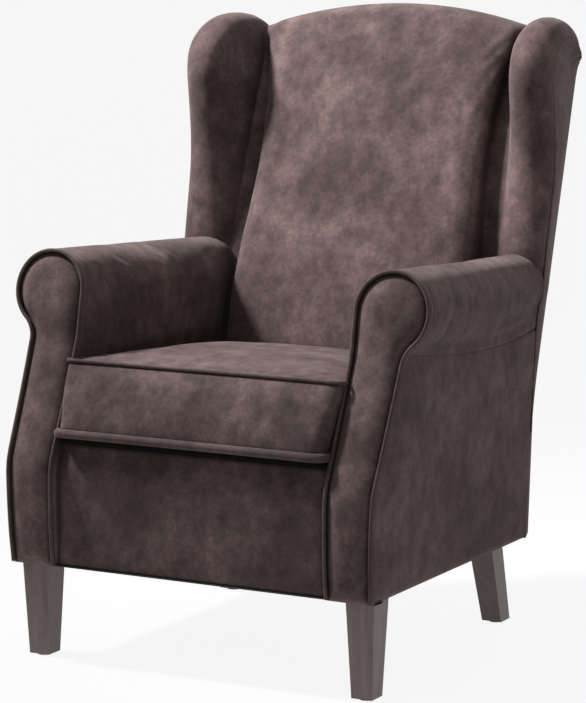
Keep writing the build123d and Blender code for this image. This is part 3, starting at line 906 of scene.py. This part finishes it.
def wing_pad():
    """Inside wing and its rounded front edge."""
    pad = loft("right_wing_pad_cover", [wing_section(t) for t in spread(70)])
    even_out(pad, pad_voxel, 4)

    def held(p):
        """Share of a point's place that the seams keep."""
        d = p.y - front_plane
        seam = smooth_step(-0.085, -0.06, d - rear_line(p.z)) if p.z < 0.97 else 0.0
        low = 1 - smooth_step(0.63, 0.68, p.z)
        outer = smooth_step(0.335, 0.345, p.x)
        rear = smooth_step(-0.035, -0.018, d - rear_line(p.z))
        return max(seam, low, outer, rear)

    puff(pad, limit=0.003, held=held, pressure=3.0)
    settle(pad)
    return pad


def outside_wing():
    """Outer side of the wing and the strip down to the elbow, gathered at the top."""
    rows = []
    columns = spread(34)
    roll_side = [p for p in arm_outline(base_depth)[roll_side_from:] if p[1] > seat_height][::-1]
    for z in strip_heights:
        near = base_depth - 0.004 + 0.008 * smooth_step(0.33, 0.56, z)
        far = max(rear_line(z) - side_rear_gap, near + strip_width)
        near_x = max(lean_x(z), across_at(roll_side, z))
        row = []
        for w in columns:
            x = mix(near_x, base_half_width, w) + strip_fill * sin(pi * w)
            row.append(at(x, mix(near, far, w), z))
        rows.append(row)
    for share in spread(70):
        t = share * wing_panel_end
        middle, inward, _ = wing_nose(t)
        corner_z = wing_corner_z(t)
        corner = Vector((rear_line(corner_z) - side_rear_gap, corner_z))
        start = middle - inward * panel_overlap
        gather = smooth_step(0.45, 0.8, t)
        row = []
        for w in columns:
            place = start.lerp(corner, w)
            x = mix(wing_centre(t) + wing_half(t), rear_seam_x, w) + wing_fill * sin(pi * w) ** 0.7
            wave = sin(w * gather_waves + 2 * noise.noise((w * 3, t * 5, 0.0)))
            x += gather_depth * gather * wave * sin(pi * w)
            row.append(at(x, place.x, place.y))
        rows.append(row)
    panel = skin("right_outside_wing_cover", rows)
    thicken(panel, -cloth_thickness)
    settle(panel, 2)
    return panel


# Back

back_front = profile(
    (0.335, 0.490), (0.465, 0.520), (0.600, 0.554), (0.750, 0.606), (0.900, 0.662), (1.000, 0.706),
    (1.060, 0.742),
)
back_half = profile(
    (0.335, 0.230), (0.470, 0.230), (0.556, 0.231), (0.626, 0.229), (0.678, 0.225), (0.730, 0.221),
    (0.783, 0.219), (0.835, 0.220), (0.887, 0.224), (0.957, 0.235), (0.990, 0.243), (1.060, 0.247),
)
back_round = 0.022
back_crown = 0.006
back_fold = 0.030
back_least_depth = 0.02
groove_lift = 0.002
groove_fall = 0.014
groove_width = 0.055
rear_panel_sink = 0.004
rear_panel_fill = 0.005


def back_column(u):
    """Side view loop of the back at a share of its width.

    The front face runs to a share of 1, its side wall to 2 and the floor of the groove to 3.
    """
    side = abs(u)
    sign = 1 if u > 0 else -1
    floor_gap = pad_rear + groove_lift + groove_fall * max(0.0, side - 2)

    def across(z):
        """How far to the side the loop lies at a height."""
        wide = back_half(z)
        far = mix(wide + groove_width, crest_half_width, smooth_step(0.90, 0.96, z))
        return sign * (wide * min(1.0, side) + (far - wide) * max(0.0, side - 2))

    def front(z):
        """Front of the loop at a height, not behind the floor of the groove."""
        floor = rear_line(z) - floor_gap
        left = (1 - min(1.0, side)) * back_half(z) / back_round
        drop = back_round * (1 - sqrt(1 - (1 - left) ** 2)) if left < 1 else 0.0
        face = min(floor, back_front(z) + back_crown * min(1.0, side) ** 2 + drop)
        return mix(face, floor, min(1.0, max(0.0, side - 1)))

    top = crest_line(across(1.0))
    loop = []
    for s in spread(46):
        z = mix(back_low, top - back_fold, s)
        loop.append(at(across(z), front(z), z))
    start = front(top - back_fold)
    end = rear_line(top - back_fold) - rear_skin
    for s in spread(16)[1:-1]:
        angle = pi * s
        rise = back_fold * sin(angle) ** 0.8
        d = mix(start, end, (1 - cos(angle)) / 2) + recline_slope * back_fold * sin(angle)
        loop.append(at(across(top - back_fold + rise), d, top - back_fold + rise))
    for s in spread(24):
        z = mix(top - back_fold, back_low, s)
        loop.append(at(across(z), max(rear_line(z) - rear_skin, front(z) + back_least_depth), z))
    return loop


def back_pad():
    """Inside back, hollow at the waist and arched at the crest."""
    half = [sin(s * pi / 2) for s in spread(25)] + [1.3, 1.6, 1.9, 2.0, 2.3, 2.6, 3.0]
    shares = [-u for u in half[:0:-1]] + half
    pad = loft("back_pad_cover", [back_column(u) for u in shares])
    even_out(pad, pad_voxel, 4)

    def held(p):
        """Share of a point's place that the seams keep."""
        d = p.y - front_plane
        rear = smooth_step(-0.095, -0.075, d - rear_line(p.z))
        low = 1 - smooth_step(0.45, 0.54, p.z)
        return max(rear, low)

    puff(pad, limit=0.0025, held=held, pressure=4.0)
    settle(pad)
    return pad


def outside_back():
    """Rear panel, lightly filled, with an arched top and rounded shoulders."""
    rows = []
    for v in spread(70):
        row = []
        for u in spread(60):
            side = 2 * u - 1
            x = side * mix(rear_seam_x, crest_half_width, v)
            past = max(0.0, abs(x) - (crest_half_width - crest_corner))
            corner = crest_corner - sqrt(max(0.0, crest_corner**2 - past**2))
            top = crest_line(x) - crest_drop - corner
            z = mix(leg_height - fold_under, top, v)
            fill = (1 - abs(side) ** 8) * (1 - abs(2 * v - 1) ** 10)
            row.append(at(x, rear_line(z) - rear_panel_sink + rear_panel_fill * fill, z))
        rows.append(row)
    panel = skin("outside_back_cover", rows)
    thicken(panel, -cloth_thickness)
    return panel


# Seat

# Bottom and top of the cushion's front, rear and half width
cushion_front = (0.0065, 0.050)
cushion_rear = (0.480, 0.500)
cushion_half = (0.2445, 0.2465)
cushion_corner = 0.018
corner_points = 9
side_points = 30
cushion_swell = 0.006
cushion_ears = 0.009
cushion_bow = 0.004
cushion_pull = 0.003
cushion_base = 0.004
cushion_room = 0.2468
arms_from = 0.075
cushion_middle = 0.26
top_seam_drop = 0.002
border_roll = 0.030
border_nose = 0.014
border_fill = 0.003
border_edge = 0.002
border_side_gap = 0.0003
deck_side_gap = 0.0005
deck_front = 0.040
deck_rear = 0.520
deck_sink = 0.006
deck_fill = 0.004


def on_deck(x, q, n):
    """Point on the sloping seat: q back along it and n square to it."""
    tilt = sqrt(1 + seat_slope**2)
    return at(x, q / tilt + n * seat_slope / tilt, seat_height - q * seat_slope / tilt + n / tilt)


def cushion_ring(level, shrink=0.0):
    """Outline of the box cushion at a share of its height, with rounded corners and bowed sides."""
    front = mix(*cushion_front, level) + shrink
    rear = mix(*cushion_rear, level) - shrink
    half = mix(*cushion_half, level) - shrink
    corner = cushion_corner
    swell = cushion_swell * sin(pi * level) if shrink == 0 else 0.0
    ears = cushion_ears * smooth_step(0.1, 0.9, level) if shrink == 0 else 0.0
    points = []
    for sx, sy in ((1, -1), (1, 1), (-1, 1), (-1, -1)):
        middle_x = sx * (half - corner)
        middle_q = (front + corner) if sy < 0 else (rear - corner)
        start = {(1, -1): -90, (1, 1): 0, (-1, 1): 90, (-1, -1): 180}[sx, sy]
        for s in spread(corner_points):
            angle = radians(start + 90 * s)
            points.append((middle_x + corner * cos(angle), middle_q + corner * sin(angle)))
    ring = []
    count = len(points)
    for i in range(count):
        ax, aq = points[i]
        bx, bq = points[(i + 1) % count]
        steps = side_points if (i + 1) % corner_points == 0 else 1
        for k in range(steps):
            ring.append((mix(ax, bx, k / steps), mix(aq, bq, k / steps)))
    shaped = []
    for x, q in ring:
        along_side = (q - front) / (rear - front)
        side = abs(x) / half
        bow_front = cushion_bow * (1 - side**2) * (1 - smooth_step(0.0, 0.05, along_side))
        pull = cushion_pull * sin(pi * min(1, max(0, along_side))) * smooth_step(0.9, 1.0, side)
        near = smooth_step(0.85, 1.0, side) * (1 - smooth_step(0.012, 0.024, q - front))
        out_front = swell * (1 + 1.2 * (1 - side**2)) * (1 - smooth_step(0.0, 0.03, along_side))
        shaped.append((x - (pull - ears * near) * (1 if x > 0 else -1), q + bow_front - out_front))
    return shaped


def seat_cushion():
    """Loose box cushion: crowned top, filled boxing, flat where it rests."""
    loops = []
    for shrink in (0.20, 0.14, 0.08, 0.03):
        loops.append([on_deck(x, q, 0.001) for x, q in cushion_ring(0.0, shrink)])
    for level in (0.0, 0.06, 0.15, 0.3, 0.5, 0.7, 0.85, 0.94, 1.0):
        n = cushion_base + level * (cushion_height - cushion_base - top_seam_drop)
        loops.append([on_deck(x, q, n) for x, q in cushion_ring(level)])
    for shrink, rise in ((0.02, 0.30), (0.05, 0.58), (0.09, 0.80), (0.14, 0.94), (0.20, 1.0)):
        n = cushion_height - top_seam_drop + cushion_crown * rise
        loops.append([on_deck(x, q, n) for x, q in cushion_ring(1.0, shrink)])
    cushion = loft("seat_cushion_cover", loops)
    even_out(cushion, cushion_voxel, 3)
    tilt = sqrt(1 + seat_slope**2)

    def held(p):
        """Share of a point's place that the seams keep."""
        d = p.y - front_plane
        n = (p.z - seat_height + seat_slope * d) / tilt
        top_seam = 1 - smooth_step(0.0, 0.012, abs(n - cushion_height + top_seam_drop))
        low = 1 - smooth_step(0.010, 0.026, n)
        edge = smooth_step(0.225, 0.240, abs(p.x)) if n > cushion_height else 1.0
        front = 1 - smooth_step(0.055, 0.075, d) if n > cushion_height - 0.01 else 0.0
        sides = smooth_step(0.240, 0.246, abs(p.x)) if d > 0.06 else 0.0
        return max(low, top_seam * edge, front * top_seam, sides)

    puff(cushion, limit=0.010, held=held, pressure=4.0, slack=0.006)
    settle(cushion)
    return cushion


def cushion_piping(level, name, radius, out):
    """Piping sewn into an edge of the cushion."""
    n = 0.008 if level == 0 else cushion_height - 0.001
    room = cushion_room - radius
    points = []
    for x, q in cushion_ring(level):
        away = Vector((x, q - cushion_middle)).normalized() * out
        wide = x + away.x
        if q > arms_from:
            wide = max(-room, min(room, wide))
        points.append(on_deck(wide, q + away.y, n))
    return tube(name, points, radius, closed=True)


def front_border():
    """Upholstered panel under the cushion, rounded over at its top."""
    rows = []
    for v in spread(44):
        row = []
        rise = v * (border_top - leg_height + border_roll)
        for u in spread(60):
            x = (2 * u - 1) * (seat_half_width - border_side_gap)
            z = leg_height - fold_under + min(rise, border_top - leg_height)
            over = max(0.0, rise - (border_top - leg_height))
            nose = border_nose * (1 - cos(smooth_step(0.80, 1.0, z / border_top) * pi / 2))
            fill = (1 - abs(2 * u - 1) ** 14) * (1 - abs(2 * v - 1) ** 8)
            fold = edge_fold * (1 - smooth_step(0.0, 0.03, v))
            edge = border_edge * smooth_step(0.975, 1.0, abs(2 * u - 1))
            row.append(at(x, border_front + nose + over + fold + edge - border_fill * fill, z))
        rows.append(row)
    panel = skin("front_border_cover", rows)
    thicken(panel, -border_thickness)
    return panel


def seat_deck():
    """Padded platform under the cushion, with an apron down to the front rail."""
    rows = []
    for v in spread(40):
        row = []
        for u in spread(40):
            x = (2 * u - 1) * (seat_half_width - deck_side_gap)
            q = mix(deck_front, deck_rear, v)
            fill = (1 - abs(2 * u - 1) ** 8) * (1 - abs(2 * v - 1) ** 8)
            row.append(on_deck(x, q, -deck_sink + deck_fill * fill))
        rows.append(row)
    edge = rows[0]
    apron = [[p - Vector((0, 0.001 * k, 0.010 * k)) for p in edge] for k in (3, 2, 1)]
    deck = skin("seat_deck_cover", apron + rows)
    thicken(deck, -deck_thickness)
    return deck


def dress_chair():
    """Upholstery that is fixed to the frame."""
    dress_pair(arm_facing(), "arm_facing", cover)
    dress_pair(facing_piping(), "facing_welt", shaded_piping_suede)
    dress_pair(arm_pad(), "arm_pad", cover)
    dress_pair(outside_arm(), "outside_arm", cover)
    dress_pair(wing_pad(), "wing_pad", cover)
    dress_pair(outside_wing(), "outside_wing", cover)
    dress(back_pad(), "chair", ["back_pad"], cover)
    dress(outside_back(), "chair", ["outside_back"], cover)
    dress(front_border(), "chair", ["front_border"], cover)
    dress(seat_deck(), "chair", ["seat_deck"], deck_cloth)


def dress_cushion():
    """Loose seat cushion and its piping."""
    body = "seat_cushion"
    dress(seat_cushion(), body, ["cushion_cover", "cushion_core"], cover)
    top = cushion_piping(1.0, "cushion_top_piping", welt_radius, 0.001)
    dress(top, body, ["cushion_top_welt"], shaded_piping_suede)
    low = cushion_piping(0.0, "cushion_bottom_piping", bottom_welt_radius, 0.0)
    dress(low, body, ["cushion_bottom_welt"], shaded_piping_suede)


def paint_solids():
    """Finish for the solids that stay as they are."""
    finishes = {
        "leg": leg_wood,
        "glides": glide_plastic,
        "bolts": steel,
        "inserts": steel,
        "screws": steel,
        "springs": steel,
        "clips": steel,
        "lining": hardboard,
        "webbing": webbing,
        "dust_cover": dust_cloth,
    }
    for name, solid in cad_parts.items():
        match = [m for key, m in finishes.items() if name.endswith(key)]
        solid.data.materials.clear()
        solid.data.materials.append(match[0] if match else frame_wood)


# Stage

floor_radius = 80.0
floor_sides = 32
floor_drop = 0.0005
floor_glow = 0.9
soft_light = 0.15


def seen_directly(tree):
    """1 for what the camera sees itself, in a reflection or through glass."""
    path = tree.nodes.new("ShaderNodeLightPath")
    total = path.outputs["Is Camera Ray"]
    for key in ("Is Glossy Ray", "Is Transmission Ray"):
        either = tree.nodes.new("ShaderNodeMath")
        either.operation = "MAXIMUM"
        tree.links.new(total, either.inputs[0])
        tree.links.new(path.outputs[key], either.inputs[1])
        total = either.outputs["Value"]
    return total


def studio():
    """Wide pale floor."""
    rim = []
    for k in range(floor_sides):
        angle = 2 * pi * k / floor_sides
        rim.append(Vector((floor_radius * cos(angle), floor_radius * sin(angle), -floor_drop)))
    floor = new_piece("floor", rim, [tuple(range(floor_sides))])
    n = Nodes("backdrop")
    n.shader.inputs["Base Color"].default_value = (0.88, 0.88, 0.88, 1)
    n.shader.inputs["Roughness"].default_value = 0.9
    glow = n.add("ShaderNodeEmission", Color=(1, 1, 1, 1), Strength=1.0)
    share = n.add("ShaderNodeMath")
    share.operation = "MULTIPLY"
    share.inputs[1].default_value = floor_glow
    n.link(seen_directly(n.tree), share.inputs[0])
    blend = n.add("ShaderNodeMixShader")
    n.link(share.outputs["Value"], blend.inputs["Fac"])
    n.link(n.shader.outputs["BSDF"], blend.inputs[1])
    n.link(glow.outputs["Emission"], blend.inputs[2])
    n.link(blend.outputs["Shader"], n.tree.nodes["Material Output"].inputs["Surface"])
    floor.data.materials.append(n.material)


def lamp(name, place, target, size, power, spread_angle=180):
    """Square lamp turned to a target."""
    light = bpy.data.lights.new(name, "AREA")
    light.size = size
    light.energy = power
    light.spread = radians(spread_angle)
    holder = bpy.data.objects.new(name, light)
    holder.location = place
    holder.rotation_euler = (Vector(target) - Vector(place)).to_track_quat("-Z", "Y").to_euler()
    bpy.context.scene.collection.objects.link(holder)


def lights():
    """Key lamp from the far left, three weaker lamps and a dim sky."""
    middle = (0.0, 0.0, 0.55)
    lamp("key", (-2.25, -0.75, 3.15), (-0.05, 0.20, 0.85), size=0.4, power=18, spread_angle=48)
    lamp("fill", (3.0, -1.4, 1.5), middle, size=2.4, power=9.5)
    lamp("top", (0.0, -0.3, 2.8), middle, size=1.0, power=10)
    lamp("rear", (0.3, 2.6, 2.4), middle, size=1.6, power=12)
    world = bpy.data.worlds.new("studio")
    world.use_nodes = True
    bpy.context.scene.world = world
    sky = world.node_tree.nodes["Background"]
    sky.inputs["Color"].default_value = (1, 1, 1, 1)
    level = world.node_tree.nodes.new("ShaderNodeMapRange")
    level.inputs["To Min"].default_value = soft_light
    level.inputs["To Max"].default_value = 1.0
    world.node_tree.links.new(seen_directly(world.node_tree), level.inputs["Value"])
    world.node_tree.links.new(level.outputs["Result"], sky.inputs["Strength"])


def camera():
    """Camera at the place and angle found from the photograph."""
    lens = bpy.data.cameras.new("camera")
    lens.lens = 147.43
    lens.sensor_width = 36.0
    holder = bpy.data.objects.new("camera", lens)
    holder.location = (2.292, -4.2434, 1.188)
    holder.rotation_euler = (radians(81.67), 0, radians(28.62))
    bpy.context.scene.collection.objects.link(holder)
    bpy.context.scene.camera = holder


dress_chair()
dress_cushion()
paint_solids()
studio()
lights()
camera()
bpy.context.scene.view_settings.view_transform = "Standard"
